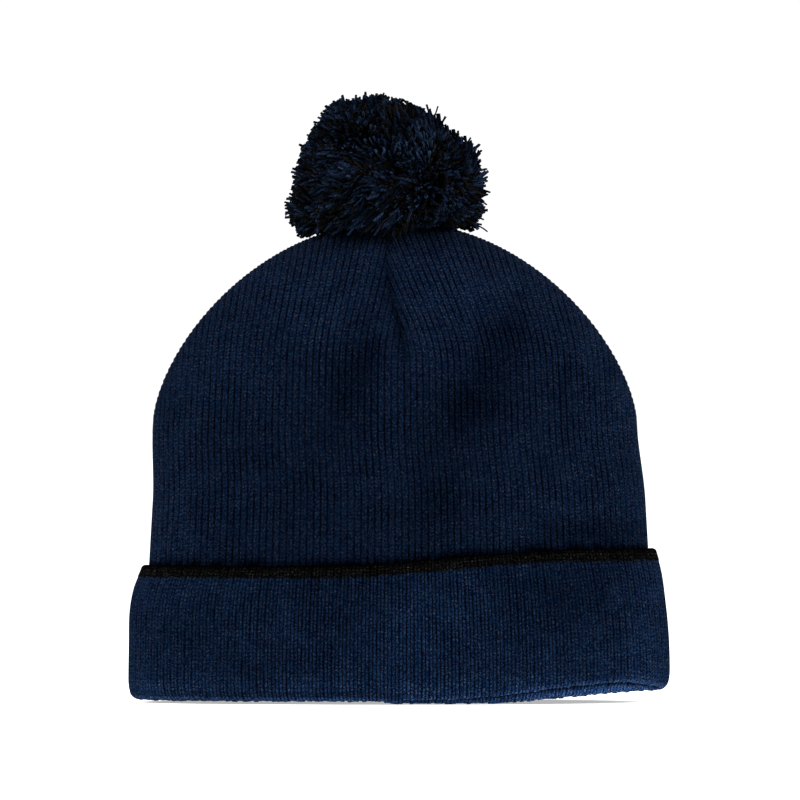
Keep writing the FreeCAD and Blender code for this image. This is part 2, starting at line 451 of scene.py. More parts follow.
def spread(start):
    """Places from start to 1 for evenly stretched ribs: nearly even as seen from the front."""
    turn = np.linspace(0, math.pi / 2, 4001)
    across = np.sin(turn)
    ratio = tube_half_depth / tube_half_width
    deep = ratio * np.sqrt(np.maximum(1 - across**section_power, 0))
    step_x = np.diff(across)
    step = np.hypot(step_x, np.diff(deep))
    travelled = np.concatenate([[0], np.cumsum(0.35 * step_x + 0.65 * step)])
    first = np.interp(abs(start), across, travelled) * np.sign(start)

    def place_of(share):
        reached = first + (travelled[-1] - first) * share
        return np.interp(np.abs(reached), travelled, across) * np.sign(reached)

    return place_of


# Soft hollows in the front and, mirrored, in the back, in millimetres, each also darkened by painted shade;
# one has no depth and is painted shade only. A lean above 0 is to the right.
Hollow = collections.namedtuple("Hollow", "x height half_width half_height depth shade lean")
hollows = [
    (-20, 144, 9, 24, 4.4, 0.32, 0.05),
    (-33, 121, 17, 24, 2.2, 0.34, 0.10),
    (-10, 150, 7, 24, 0.0, 0.24, 0.00),
    (-42, 80, 34, 15, 0.8, 0.28, 0.00),
    (44, 148, 15, 21, 4.2, 0.37, 0.35),
    (33, 124, 17, 19, 3.8, 0.39, 0.40),
    (16, 86, 16, 15, 2.4, 0.34, 0.25),
    (52, 168, 8, 11, 2.0, 0.26, 0.30),
    (-66, 110, 14, 18, 1.4, 0.24, 0.10),
    (74, 130, 8, 16, 1.4, 0.24, -0.20),
    (84, 75, 26, 6, 0.8, 0.42, 0.00),
    (10, 118, 26, 34, 0.8, 0.20, 0.00),
]
crease_valley = 3.2 * mm


def hollow_at(x, height, front, part):
    """The hollows' depth at a place, or their painted shade there."""
    total = np.zeros(np.broadcast(x, height).shape)
    for hollow in map(Hollow._make, hollows):
        middle = (hollow.x + hollow.lean * (height / mm - hollow.height)) * mm
        across = bump((x * (1 if front else -1) - middle) / (hollow.half_width * mm))
        risen = bump((height - hollow.height * mm) / (hollow.half_height * mm))
        total = total + getattr(hollow, part) * across * risen
    return total


def crease_depth(x, height, front):
    """The dart's crease: a valley that is steeper on its right, with a soft swelling on each side."""
    grown = smooth((height - crease_foot + 8 * mm) / (22 * mm))
    beside = (x - crease_x(height)) * (1 if front else -1)
    narrow = np.where(beside > 0, 2.4 * mm, 4.5 * mm)
    valley = np.exp(-np.abs(beside / narrow) ** 1.3)
    left_swelling = 0.9 * mm * bump((beside + 9 * mm) / (6 * mm))
    right_swelling = 0.6 * mm * bump((beside - 8 * mm) / (6 * mm))
    return grown * (crease_valley * valley - left_swelling - right_swelling)


def sculpt(x, height, front):
    """How far the fabric is pushed in."""
    return crease_depth(x, height, front) + hollow_at(x, height, front, "depth") * mm


def shade_at(x, height, front):
    """The painted light on the fabric: a painted shadow at the cuff's top, painted shade in hollows and
    crease, most painted light on top.
    """
    crease = np.clip(crease_depth(x, height, front) / crease_valley, 0, 1)
    above_cuff = height - cuff_top(x + leftwards(height)) + 0.5 * mm
    behind_cuff = smooth((above_cuff + 12 * mm) / (6 * mm))
    above_cuff = np.maximum(above_cuff, 0)
    # painted shadow where the fabric goes in under the cuff's top edge
    tucked_shadow = 0.86 * np.exp(-((above_cuff / (1.9 * mm)) ** 4)) + 0.13 * np.exp(-((above_cuff / (5 * mm)) ** 2))
    tucked_shadow = 1 - tucked_shadow * behind_cuff
    # the crease's painted shade fades near the top, and painted light grows towards the top
    fading = 1 - 0.6 * smooth((height - 172 * mm) / (20 * mm))
    lit_top = 1.03 + 0.11 * smooth((height - 150 * mm) / (35 * mm))
    # painted shade in the hollows
    hollowed = 1 - np.clip(hollow_at(x, height, front, "shade"), 0, 0.75)
    return hollowed * (1 - 0.5 * crease * fading) * lit_top * tucked_shadow


def surface(x, height, front):
    """Points on the outside of the fabric, and the direction out of it."""
    width, depth = outline(height)
    step = 0.5 * mm
    width_2, depth_2 = outline(height + step)
    share = np.clip(np.abs(x) / np.maximum(width, 1e-9), 0, 1)
    thick = np.sqrt(np.maximum(1 - share**section_power, 0))
    pushed = sculpt(x, height, front) * smooth(thick * 2.2)
    y = depth * thick - np.minimum(pushed, 0.6 * depth * thick)
    wide, deep = np.maximum(width, 1 * mm), np.maximum(depth, 1 * mm)
    out_x = section_power * share ** (section_power - 1) * np.sign(x) / wide
    out_z = -section_power * share**section_power * (width_2 - width) / step / wide
    out_z = out_z - 2 * thick**2 * (depth_2 - depth) / step / deep
    sign = -1 if front else 1
    points = stacked(x + leftwards(height), sign * y, height)
    return points, unit(stacked(out_x, sign * (2 * thick / deep), out_z))


rib_steps = [(0.0, -0.55), (0.24, 0.26), (0.5, -0.05), (0.76, 0.26)]  # across a rib: place, height in mm
left_ribs_from = 200.0  # the left half's ribs count from here, so that no two are shaded alike
shell_rows = 72
end_reach = 0.3 * mm  # a column this near to the crease ends on it
rim_reach = 0.6 * mm  # a column this near to the rim ends on it


def shell_patch(side, front, ribs):
    """One quarter of the tube and crown, from the crease to the side, as columns that follow the ribs."""
    place_of = spread(side * crease_start / tube_line(crease_foot)[0])
    across = [(rib + place, relief) for rib in range(ribs) for place, relief in rib_steps]
    across.append((ribs, rib_steps[0][1]))
    heights = np.linspace(shoulder_height, crown_height, 1200)
    risen = 1 - (1 - np.linspace(0, 1, shell_rows)) ** 1.8
    points, uv, shades = [], [], []
    for rib, relief in across:
        place = side * float(place_of(rib / ribs))
        x = column_x(place, heights, side)
        ended = (side * (x - crease_x(heights)) < 0) & (heights > crease_foot)
        ended |= np.abs(x) >= outline(heights)[0]
        ended[0] = False
        last = int(np.argmax(ended)) if ended.any() else len(heights) - 1
        end = heights[last]
        foot = cuff_low(place * cuff_half_width) + body_foot
        height = foot * (1 - risen) + end * risen
        x = column_x(place, height, side)
        width = outline(height)[0]
        at_rim = abs(place) >= 1 - 1e-9
        if at_rim:
            x = np.sign(place) * width
        meets_crease = side * (x[-1] - crease_x(end)) < end_reach
        x[-1] = crease_x(end) if meets_crease else np.clip(x[-1], -width[-1], width[-1])
        if abs(abs(x[-1]) - width[-1]) < rim_reach:
            x[-1] = np.sign(x[-1]) * width[-1]
        if not at_rim:
            x = x + np.sign(place) * flare_side * foot_flare(height) * abs(place)
        point, normal = surface(x, height, front)
        rim = np.abs(x) >= width - 1e-7
        point = point + normal * (relief * mm * np.where(rim, 0.3, 1.0))[:, None]
        counted = rib + (0 if side > 0 else left_ribs_from)
        points.append(point)
        uv.append(stacked(counted, travel(point) / stitch_row))
        shades.append(shade_at(x, height, front))
    return np.array(points), np.array(uv), np.array(shades)


def thickened(made, thickness):
    """Gives the fabric its thickness inwards. The inside keeps none of the outside's painted light and
    painted shade.
    """
    outside = len(made.data.vertices)
    thicken = made.modifiers.new("thickness", "SOLIDIFY")
    thicken.thickness = thickness
    thicken.offset = -1
    thicken.use_even_offset = False
    mesh = bpy.data.meshes.new_from_object(made.evaluated_get(bpy.context.evaluated_depsgraph_get()))
    made.modifiers.clear()
    for vertex in mesh.attributes["hollow"].data[outside:]:
        vertex.value = 1
    made.data = mesh
    return made


def make_shell():
    """The knitted tube and crown, welded from four quarters."""
    patches, faces, offset = [], [], 0
    for side, front in itertools.product((1, -1), (True, False)):
        patch = shell_patch(side, front, body_ribs // 4 + (side < 0))
        columns = len(patch[0])
        faces += grid_faces(columns, shell_rows, offset, flip=(side > 0) != front)
        offset += columns * shell_rows
        patches.append(patch)
    points, uv, shades = (np.concatenate(parts) for parts in zip(*patches))
    made = new_object("knit_body", points, faces, navy_knit, uv, shades)
    weld(made, 0.03 * mm)
    return thickened(made, knit_thickness)


# ---- seams and label inside


ridge_sides = 12
ridge_wide = 2.4 * mm
ridge_deep = 3.0 * mm
seam_gap = 0.4 * mm  # between the inside of the wall and the middle of a flat ridge
side_gap = 1.0 * mm  # the same at the sides, where the wall curves more
dart_low = 150 * mm
front_dart_high = 206.5 * mm
side_dart_high = 204 * mm
dart_points = 60
back_seam_deep = 1.6 * mm
label_thickness = 0.7 * mm
label_weave = 0.3 * mm


def ridge(name, line, out, across, wide, deep):
    """A sewn ridge of fabric along a line. out points from the hat's middle to the fabric."""
    turn = np.linspace(0, 2 * math.pi, ridge_sides, endpoint=False)
    side = np.sign(np.cos(turn)) * np.abs(np.cos(turn)) ** 0.6 * wide / 2
    into = np.sign(np.sin(turn)) * np.abs(np.sin(turn)) ** 0.6 * deep / 2
    length = travel(line)
    puckered = 1 + 0.12 * np.sin(length / (1.3 * mm))
    ring = line[:, None] + (side * puckered[:, None])[..., None] * np.array(across)
    ring = ring - (into * puckered[:, None])[..., None] * out[:, None]
    uv = stacked(np.linspace(0, 2, ridge_sides), length[:, None] / stitch_row)
    faces = grid_faces(len(line), ridge_sides, wrap_rows=True)
    last = (len(line) - 1) * ridge_sides
    faces.append(tuple(range(ridge_sides)))
    faces.append(tuple(last + k for k in range(ridge_sides))[::-1])
    light = np.full(ring.shape[:2], 0.8)
    return new_object(name, ring, faces, navy_knit, uv, light)


def make_dart_seams():
    """The four darts' ridges, following the inside of the knitted wall."""
    made = []
    height = np.linspace(dart_low, front_dart_high, dart_points)
    for name, front in (("dart_ridge_front", True), ("dart_ridge_back", False)):
        point, out = surface(crease_x(height), height, front)
        line = point - out * (knit_thickness + seam_gap)
        made.append((name, ridge(name, line, out, (1.0, 0.0, 0.0), ridge_wide, ridge_deep)))
    height = np.linspace(dart_low, side_dart_high, dart_points)
    depthwise = np.tile([0.0, 1.0, 0.0], (dart_points, 1))
    for name, sign in (("dart_ridge_left", -1), ("dart_ridge_right", 1)):
        width = outline(height)[0]
        point = stacked(sign * width + leftwards(height), 0.0, height)
        out = unit(np.cross(depthwise, unit(np.gradient(point, axis=0))) * sign)
        line = point - out * (knit_thickness + side_gap)
        made.append((name, ridge(name, line, out, (0.0, 1.0, 0.0), ridge_wide, ridge_deep)))
    return made


def make_back_seam(low, high):
    """The flat seam up the inside of the back."""
    height = np.linspace(low.z, high.z, 90)
    point, out = surface(np.zeros(len(height)), height, False)
    point[:, 0] = 0
    line = point - out * (knit_thickness + seam_gap)
    return ridge("back_seam_tape", line, out, (1.0, 0.0, 0.0), high.x - low.x, back_seam_deep)


def make_label(low, high):
    """A folded tape label hanging in front of the back seam, with a soft bow."""
    wide, tall = high.x - low.x, high.z - low.z
    columns, rows = 25, 40
    across = np.linspace(-0.5, 0.5, columns)[:, None]
    down = np.linspace(0, 1, rows)[None, :]
    middle = (low.y + high.y) / 2
    x = across * wide * (1 - 0.02 * down) + (low.x + high.x) / 2
    y = middle - 1.4 * mm * down**2 + 0.35 * mm * np.cos(across * 5) * down
    y = y + 0.25 * mm * np.sin(down * 9 + across * 3)
    height = high.z - down * tall * 0.995
    uv = stacked(across * wide / label_weave, down * tall / label_weave)
    made = new_object("label_tape", stacked(x, y, height), grid_faces(columns, rows), label_satin, uv)
    thicken = made.modifiers.new("thickness", "SOLIDIFY")
    thicken.thickness = label_thickness
    thicken.offset = 0
    return made


# ---- the cuff


leg_steps = [0.0, 0.22, 0.5, 0.78]  # the places across one leg of a rib
leg_relief = [-0.42, 0.14, 0.26, 0.14]  # the heights there, in millimetres


def cuff_low(x):
    """Height of the cuff's underside, which lifts towards the right and a little to the left."""
    return 5.0 * mm * smooth((x - 32 * mm) / (88 * mm)) + 0.9 * mm * smooth(-x / (12 * mm))


def fold_lift(x, front):
    """How far the outer layer's fold stands above the inner layer's, on the right of the front."""
    lift = 1.4 * mm * smooth(x / (3 * mm)) + 3.4 * mm * smooth((x - 8 * mm) / (72 * mm))
    return front * (lift - 3.2 * mm * smooth((x - 96 * mm) / (20 * mm)))


def cuff_top(x):
    """Height of the cuff's top edge, which climbs to the right."""
    return 59.8 * mm + 7.2 * mm * smooth((x + 38 * mm) / (122 * mm))


def cuff_size(risen):
    """Half width and half depth of the outside of the cuff, that far above its underside."""
    pulled = cuff_pull * np.clip((risen - cuff_widest) / (50 * mm), 0, 1.3) ** 2.2
    rounded = 1.8 * mm * np.clip(1 - risen / (9 * mm), 0, 1) ** 2
    return cuff_half_width - pulled - rounded, cuff_half_depth - 0.25 * pulled - 0.5 * rounded


def cuff_angles():
    """Signed places across the cuff and the face they are on, once round it."""
    quarter = cuff_columns // 4
    place_of = spread(0.0)
    share = np.array([(column + step) / quarter for column in range(quarter) for step in leg_steps])
    places = place_of(share)
    back = place_of(1 - share)
    # from the middle of the back to the left, round the front, and home from the right
    signed = np.concatenate([-places, -back, places, back])
    face = np.concatenate([-np.ones(len(share)), np.ones(2 * len(share)), -np.ones(len(share))])
    return signed, face, np.arange(len(signed)) / len(leg_steps)


def cuff_point(place, face, height, inset):
    """A point on the cuff's wall, that far inside its outer surface, and the way out in plan."""
    width, depth = cuff_size(height - cuff_low(place * cuff_half_width))
    swell = 1.4 * mm * bump((height - 42 * mm) / (13 * mm))
    fuller = (swell - 1.3 * mm * smooth((height - 48 * mm) / (12 * mm))) * smooth(-place * 2 - 0.6)
    width, depth = width - inset + fuller, depth - inset
    across = np.abs(place)
    thick = np.sqrt(np.maximum(1 - across**section_power, 0))
    out_x = section_power * across ** (section_power - 1) * np.sign(place) / width
    point = stacked(place * width, -face * depth * thick, height)
    return point, unit(stacked(out_x, -face * 2 * thick / depth, 0.0))


def covering(height, low):
    """How far inside the cuff's outer surface a layer lies that covers the inside of the body's wall."""
    cuff_wide, cuff_deep = cuff_size(height - low)
    wide, deep = outline(height)
    return np.maximum(cuff_wide - wide, cuff_deep - deep) + knit_thickness + 1.4 * mm


def cuff_shade(points):
    """Broad, soft painted shade and painted light across the front of the cuff, lightest along its fold."""
    x, height = points[..., 0] / mm, points[..., 2] / mm
    front = smooth(0.5 - points[..., 1] / (20 * mm))
    dark = 0.24 * bump((x + 28) / 18) * bump((height - 44) / 22)
    dark = dark + 0.36 * bump((x - 74) / 26) * bump((height - 50) / 18)
    bright = 0.28 * bump((x - 6) / 28) * bump((height - 28) / 20) + 0.18 * bump((x - 108) / 12)
    bright = bright + 0.22 * bump((x + 16) / 30) * bump((height - 6) / 10)
    bright = bright + 0.20 * bump((x - 95) / 40) * bump((height - 20) / 9)
    bright = bright + (0.62 + 0.9 * smooth(x / 110)) * bump((height - 5) / 6)
    return 0.94 + front * (bright - dark)


def tipping_shade(points):
    """Painted shade: the black edge is a little darker on the right of its middle."""
    return 1 - 0.3 * bump((points[..., 0] / mm - 64) / 18)


def cuff_mesh(name, material, section, shade_of):
    """Sweeps a section round the cuff. Its rows are inset, height, share of relief, stitch row and painted
    light.
    """
    places, faces_on, ribs = cuff_angles()
    relief = np.tile(leg_relief, len(places) // len(leg_relief)) * mm
    rows = []
    for inset, height, share, stitch, lit in section(places, faces_on):
        point, out = cuff_point(places, faces_on, height, inset)
        point = point + out * ((relief * share) + cuff_wave(places, faces_on, height))[:, None]
        rows.append((point, stacked(ribs / 2, stitch), np.broadcast_to(lit, ribs.shape)))
    points, uv, light = (np.stack(parts, axis=1) for parts in zip(*rows))
    faces = grid_faces(len(places), len(rows), flip=True, wrap_columns=True, wrap_rows=True)
    return new_object(name, points, faces, material, uv, shade_of(points) * light)


def cuff_wave(places, faces_on, height):
    """Slow swelling of the cuff, in metres, dying away towards its sides."""
    turn = places * 3.1 + faces_on * 0.8
    swell = 0.6 * mm * np.sin(turn * 2.3 + height * 40) + 0.4 * mm * np.sin(turn * 5.1 - height * 70 + 1.0)
    return swell * smooth((1 - np.abs(places)) * 5) + 0.5 * mm * bump((height - 57 * mm) / (9 * mm))


fold_depth = 2 * cuff_layer + 0.8 * mm  # both layers and the gap between them
fold_round = 0.62  # how tall the rolled fold is for its depth
fold_travel = math.pi * 3 * mm  # the length of knitting round the fold
inner_top = 10 * mm  # how far the inner layer is drawn above the fold
inner_rows = 9
wall_rows = 26
# The fringe and edge lights are painted light: a painted highlight along the hem and along the outer fold's
# edge.
fringe_rows = (5, 6, 7)  # the inner lobe's rows that carry the hem's light fringe
fringe_light = 1.8
edge_light = (0, 0.7, 2.0, 1.2, 0.1)  # extra light on the outer lobe's rows


def cuff_rows(places, faces_on):
    """The cuff's closed section: down inside, round the fold's two lobes, up the outside, and back down."""
    x = places * cuff_half_width
    facing = faces_on * np.sqrt(np.maximum(1 - np.abs(places) ** section_power, 0))
    lift = fold_lift(x, smooth(facing * 2.5 + 0.2))
    lifted = smooth(lift / (1.5 * mm))
    low = cuff_low(x)
    top = cuff_top(x) - 4.2 * mm
    outer = 2.7 * mm * smooth(lift / (1.2 * mm))
    inner = fold_depth - outer
    uneven = random.uniform(0, 0.60 * mm, len(x) // 4).repeat(4) + random.uniform(0, 0.25 * mm, len(x))
    rows = []
    for j in range(5):
        above = inner_top - j * 1.3 * mm
        height = low + lift + above
        deeper = np.maximum(covering(height, low) - fold_depth, 0)
        deeper = deeper * smooth((height - low - 3.6 * mm) / (3 * mm))
        rows.append((fold_depth + deeper, height, -0.6, above / stitch_row, 1.0))
    for j in range(inner_rows + 1):
        turn = math.pi * j / inner_rows
        inset = outer + inner / 2 * (1 + math.cos(turn))
        height = low + inner * fold_round * (1 - math.sin(turn)) + lift * smooth((turn - 2.2) / 0.9) * 0.9
        height = height + uneven * math.sin(turn)
        # painted shadow on the inner lobe's last rows, under the outer fold where it stands above them
        tucked_shadow = lifted * (0.45 if j >= inner_rows - 1 else 0)
        fringe = fringe_light if j in fringe_rows else 0
        rows.append((inset, height, -math.cos(turn), -(turn * 3 * mm) / stitch_row, 1 + fringe - tucked_shadow))
    for j, extra in enumerate(edge_light, 1):
        turn = math.pi * j / len(edge_light)
        inset = outer / 2 * (1 + math.cos(turn))
        height = low + lift + inner * fold_round - outer * fold_round * math.sin(turn)
        height = height + uneven * math.sin(turn) * lifted
        rows.append((inset, height, 0.9, -fold_travel / stitch_row, 1 + extra * lifted))
    start = low + lift + inner * fold_round
    for j in range(1, wall_rows + 1):
        share = j / wall_rows
        height = start * (1 - share) + top * share
        rows.append((0.0 * places, height, 1.0, -(fold_travel + (top - start) * share) / stitch_row, 1.0))
    for share in (0, 0.25, 0.5, 0.75, 1):
        height = top * (1 - share) + (low + lift + inner_top) * share
        rows.append((cuff_layer, height, 0.0, 0.0, 1.0))
    return rows


tipping_outset = 0.25 * mm  # how far the black edge stands proud of the cuff
tipping_round = 1.1 * mm  # the height of its rounded top
tipping_side_rows = 4
tipping_round_rows = 5


def tipping_rows(places, faces_on):
    """The black edge's closed section: up from its ragged lower line, over the top and down the inside."""
    x = places * cuff_half_width
    count = len(places)
    tooth = np.tile([0.0, 0.5, 1.0, 0.5], count // 4)
    ragged = random.uniform(-0.5, 0.5, count // 4).repeat(4)
    top = cuff_top(x) + (0.25 * tooth + 0.3 * ragged - 0.3) * mm
    low = top - (4.3 + 1.3 * tooth + ragged) * mm
    rows = []
    # The last number of each row is painted light: a little more on the outer side, painted shadow at the top
    # of the side and over the rounded top, and less inside.
    for j in range(tipping_side_rows + 1):
        share = j / tipping_side_rows
        height = low * (1 - share) + (top - tipping_round) * share
        light = 0.7 if j == tipping_side_rows else 1.2
        rows.append((-tipping_outset * smooth(share * 4), height, 1.0, share * 3, light))
    for j in range(1, tipping_round_rows):
        turn = math.pi * j / tipping_round_rows
        inset = (cuff_layer + 0.5 * mm) / 2 * (1 - math.cos(turn)) - tipping_outset
        rows.append((inset, top - tipping_round * (1 - math.sin(turn)), math.cos(turn), 3 + j * 0.4, 0.3))
    for share in (0, 0.5, 1):
        height = (top - tipping_round) * (1 - share) + (low - 2 * mm) * share
        rows.append((cuff_layer + 0.3 * mm, height, -0.8, 5.5 + 2 * share, 0.7))
    return rows


# ---- the pom

pom_centre = np.array([(pom_low.x + pom_high.x) / 2 - 1.0 * mm, 0.0, pom_high.z - 36.6 * mm])
pom_radius = (pom_high.x - pom_low.x) / 2 + 0.3 * mm
pom_top = pom_high.z - pom_centre[2] - 1.2 * mm
pom_bottom = 25 * mm
pom_taper = 0.24  # how much narrower the pom is at its top than at its middle
pom_boxiness = 3.6  # 2 is round
parting = unit(np.array([0.63, -0.76, -0.02]))  # where the strands part, low on the front right
strand_radius = 0.61 * mm
strand_points = 6
longest_strand = 32 * mm
crown_clearance = 1.2 * mm
pom_keep = 0.90  # how flat the pom gets at its sideways limits
strand_sides = 3
tuft_count = 520
strands_per_tuft = 19
# the strands that stand out from the trimmed surface: x and height of the root and of the tip, in millimetres
strays = [(14, 250, 17, 259), (30, 208, 38.5, 204.5), (-43, 214, -49.5, 211.5)]
stray_radius = 0.42 * mm


def pom_surface(direction):
    """Points on the pom's trimmed surface, from its middle, in a direction."""
    flat = np.hypot(direction[..., 0], direction[..., 1]) / pom_radius
    tall = np.where(direction[..., 2] > 0, direction[..., 2] / pom_top, -direction[..., 2] / pom_bottom)
    reach = (flat**pom_boxiness + tall**pom_boxiness) ** (-1 / pom_boxiness)
    lumps = 0.030 * np.sin(direction[..., 0] * 7 + 1) * np.sin(direction[..., 2] * 8)
    lumps = lumps + 0.020 * np.sin(direction[..., 1] * 11 + direction[..., 0] * 9)
    point = direction * (reach * (1 + lumps))[..., None]
    risen = np.clip(point[..., 2] / pom_top, 0, 1)
    point[..., :2] *= (1 - pom_taper * risen - 0.12 * risen**4)[..., None]
    point[..., 0] -= 9.0 * mm * risen**3
    low_left = smooth(-direction[..., 0] * 1.6) * bump((point[..., 2] + 18 * mm) / (9 * mm))
    point[..., 0] -= 5.0 * mm * low_left
    point[..., 2] -= 3.4 * mm * smooth((point[..., 0] - 2 * mm) / (26 * mm)) * smooth((risen - 0.35) / 0.45)
    return point


def crown_table():
    """Height of the crown's outside over a grid of places in plan."""
    across = np.linspace(-90 * mm, 90 * mm, 181)
    deep = np.linspace(-60 * mm, 60 * mm, 121)
    x, y = np.meshgrid(across, deep, indexing="ij")
    low = np.full(x.shape, shoulder_height)
    high = np.full(x.shape, crown_height - 0.01 * mm)
    for _ in range(24):
        middle = (low + high) / 2
        width, depth = outline(middle)
        inside = (np.abs(x - leftwards(middle)) / width) ** section_power + (y / depth) ** 2 < 1
        low, high = np.where(inside, middle, low), np.where(inside, high, middle)
    thread_low, thread_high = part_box("crown_gather_thread")
    from_thread = np.hypot(x - (thread_low.x + thread_high.x) / 2, y - (thread_low.y + thread_high.y) / 2)
    gathered = from_thread < (thread_high.x - thread_low.x) / 2 + 2 * mm
    return across, deep, np.where(gathered, np.maximum(low, thread_high.z + 0.6 * mm), low)


crown_across, crown_deep, crown_heights = crown_table()


def crown_at(x, y):
    """Height of the crown's outside at places in plan."""
    step = crown_across[1] - crown_across[0]
    i = np.clip((x - crown_across[0]) / step, 0, len(crown_across) - 1.001)
    j = np.clip((y - crown_deep[0]) / step, 0, len(crown_deep) - 1.001)
    a, b = i.astype(int), j.astype(int)
    u, v = i - a, j - b
    near = crown_heights[a, b] * (1 - v) + crown_heights[a, b + 1] * v
    far = crown_heights[a + 1, b] * (1 - v) + crown_heights[a + 1, b + 1] * v
    return near * (1 - u) + far * u


def turned(points, axis, centre, angle):
    """Points turned about an axis through a centre."""
    away = points - centre
    axis = np.array(axis, dtype=float)
    along = (away @ axis)[..., None] * axis
    return centre + along + (away - along) * math.cos(angle) + np.cross(axis, away) * math.sin(angle)


def above_crown(points):
    """Lifts points so that they stay outside the crown wherever the pom's joints take them."""
    joints = frame["record"]["behaviour"]["joints"]
    centre = np.array(joints[0]["pos_m"])
    points = points.copy()
    for _ in range(2):
        lift = np.zeros(points.shape[:-1])
        for shares in itertools.product((-1, 0, 1), repeat=len(joints)):
            moved = points.copy()
            moved[..., 2] = pom_high.z + (moved[..., 2] - pom_high.z) * (1 - (1 - pom_keep) * abs(shares[0]))
            for joint, share in reversed(list(zip(joints, shares))):
                moved = turned(moved, joint["axis"], centre, share * math.radians(joint["range_deg"][1]))
            lift = np.maximum(lift, crown_at(moved[..., 0], moved[..., 1]) + crown_clearance - moved[..., 2])
        points[..., 2] += lift
    return points


def strand_lines(tufts, strands_each):
    """The strands' lines from the parting to the trimmed surface, their tufts and how far they stray."""
    turn = np.arange(tufts) * math.pi * (3 - math.sqrt(5))
    level = 1 - 2 * (np.arange(tufts) + 0.5) / tufts
    level = np.sign(level) * np.abs(level) ** 0.9
    flat = np.sqrt(1 - level**2)
    middle = stacked(flat * np.cos(turn), flat * np.sin(turn), level)
    middle = unit(middle + random.normal(size=(tufts, 3)) * 0.06)
    tuft = np.arange(tufts).repeat(strands_each)
    count = len(tuft)
    direction = unit(middle[tuft] + random.normal(size=(count, 3)) * 0.085)
    trim = 1.0 - (0.050 * random.random(tufts) ** 1.3)[tuft] - 0.026 * random.random(count)
    end = pom_centre + pom_surface(direction) * trim[:, None]
    end = above_crown(end)
    toward = middle @ parting
    offset = 0.58 * smooth((toward + 0.55) / 1.1)
    leftward = smooth((0.40 - middle[:, 0]) / 0.5) * smooth((middle[:, 2] - 0.12) / 0.35)
    offset = offset * (1 - 0.9 * leftward)
    start = pom_centre + parting * (pom_radius * offset)[:, None] + random.normal(size=(tufts, 3)) * 3.6 * mm
    start = start[tuft] + random.normal(size=(count, 3)) * 0.9 * mm
    start = end + (start - end) * np.minimum(1, longest_strand / np.linalg.norm(start - end, axis=1))[:, None]
    share = np.linspace(0.0, 1.0, strand_points)[None, :, None]
    line = start[:, None] * (1 - share) + end[:, None] * share
    run = np.linalg.norm(end - start, axis=1)
    out = unit((start + end) / 2 - pom_centre + 1e-6)
    swept = (smooth((0.95 - toward) / 0.6) * smooth((toward + 0.5) / 0.6) * (1 - leftward))[tuft]
    bow = out * (run * (random.uniform(0.0, 0.10, tufts)[tuft] + 0.12 * swept))[:, None]
    sideways = unit(np.cross(end - start, random.normal(size=(tufts, 3))[tuft]))
    curl = sideways * (run * random.uniform(0.0, 0.20, tufts)[tuft])[:, None]
    own = unit(np.cross(end - start, random.normal(size=(count, 3))))
    own = own * (run * random.uniform(0.0, 0.13, count))[:, None]
    line = line + bow[:, None] * (4 * share * (1 - share))
    line = line + (curl + own)[:, None] * np.sin(share * math.pi * 1.4)
    return above_crown(line), tuft, np.linalg.norm(direction - middle[tuft], axis=1)


def stray_lines():
    """Centre lines of the few strands that stand out."""
    share = np.linspace(0, 1, strand_points)[:, None]
    sag = np.array([0.3, 0, 0.8]) * mm * 4 * share * (1 - share)
    rows = []
    for root_x, root_z, tip_x, tip_z in strays:
        root = np.array([root_x, -9, root_z]) * mm
        tip = np.array([tip_x, -9, tip_z]) * mm
        rows.append(root * (1 - share) + tip * share + sag)
    return np.array(rows)


def strand_light(lines):
    """How much painted light reaches points along the strands: little below the trimmed surface, as painted
    shade.
    """
    away = lines - pom_centre
    distance = np.linalg.norm(away, axis=-1)
    depth = np.linalg.norm(pom_surface(unit(away + 1e-9)), axis=-1) - distance
    return 0.24 + 0.76 * np.exp(-((np.maximum(depth, 0) / (6.5 * mm)) ** 1.6))


def strands_mesh(name, lines, radius, bright, material):
    """Round strands along the lines, tapered to their cut ends."""
    count, points = lines.shape[:2]
    tangent = unit(np.gradient(lines, axis=1))
    side = unit(np.cross(tangent, unit(np.array([0.31, 0.42, 0.85]))))
    other = np.cross(tangent, side)
    taper = np.interp(np.linspace(0, 1, points), [0, 0.1, 0.85, 1], [0.6, 0.9, 1.05, 1.0])
    thick = (radius[:, None] * taper)[:, :, None, None]
    turn = np.linspace(0, 2 * math.pi, strand_sides, endpoint=False)
    ring = lines[:, :, None] + thick * np.cos(turn)[:, None] * side[:, :, None]
    ring = ring + thick * np.sin(turn)[:, None] * other[:, :, None]
    u = np.arange(count)[:, None, None] + np.arange(strand_sides) / strand_sides * 0.98
    uv = stacked(u, travel(lines)[:, :, None] / mm)
    light = strand_light(lines) * bright[:, None]
    faces = []
    for strand in range(count):
        base = strand * points * strand_sides
        for j in range(points - 1):
            for k in range(strand_sides):
                n = (k + 1) % strand_sides
                low, high = base + j * strand_sides, base + (j + 1) * strand_sides
                faces.append((low + k, low + n, high + n, high + k))
        faces.append(tuple(base + k for k in range(strand_sides))[::-1])
        faces.append(tuple(base + (points - 1) * strand_sides + k for k in range(strand_sides)))
    return new_object(name, ring, faces, material, uv, light[:, :, None].repeat(strand_sides, axis=2))


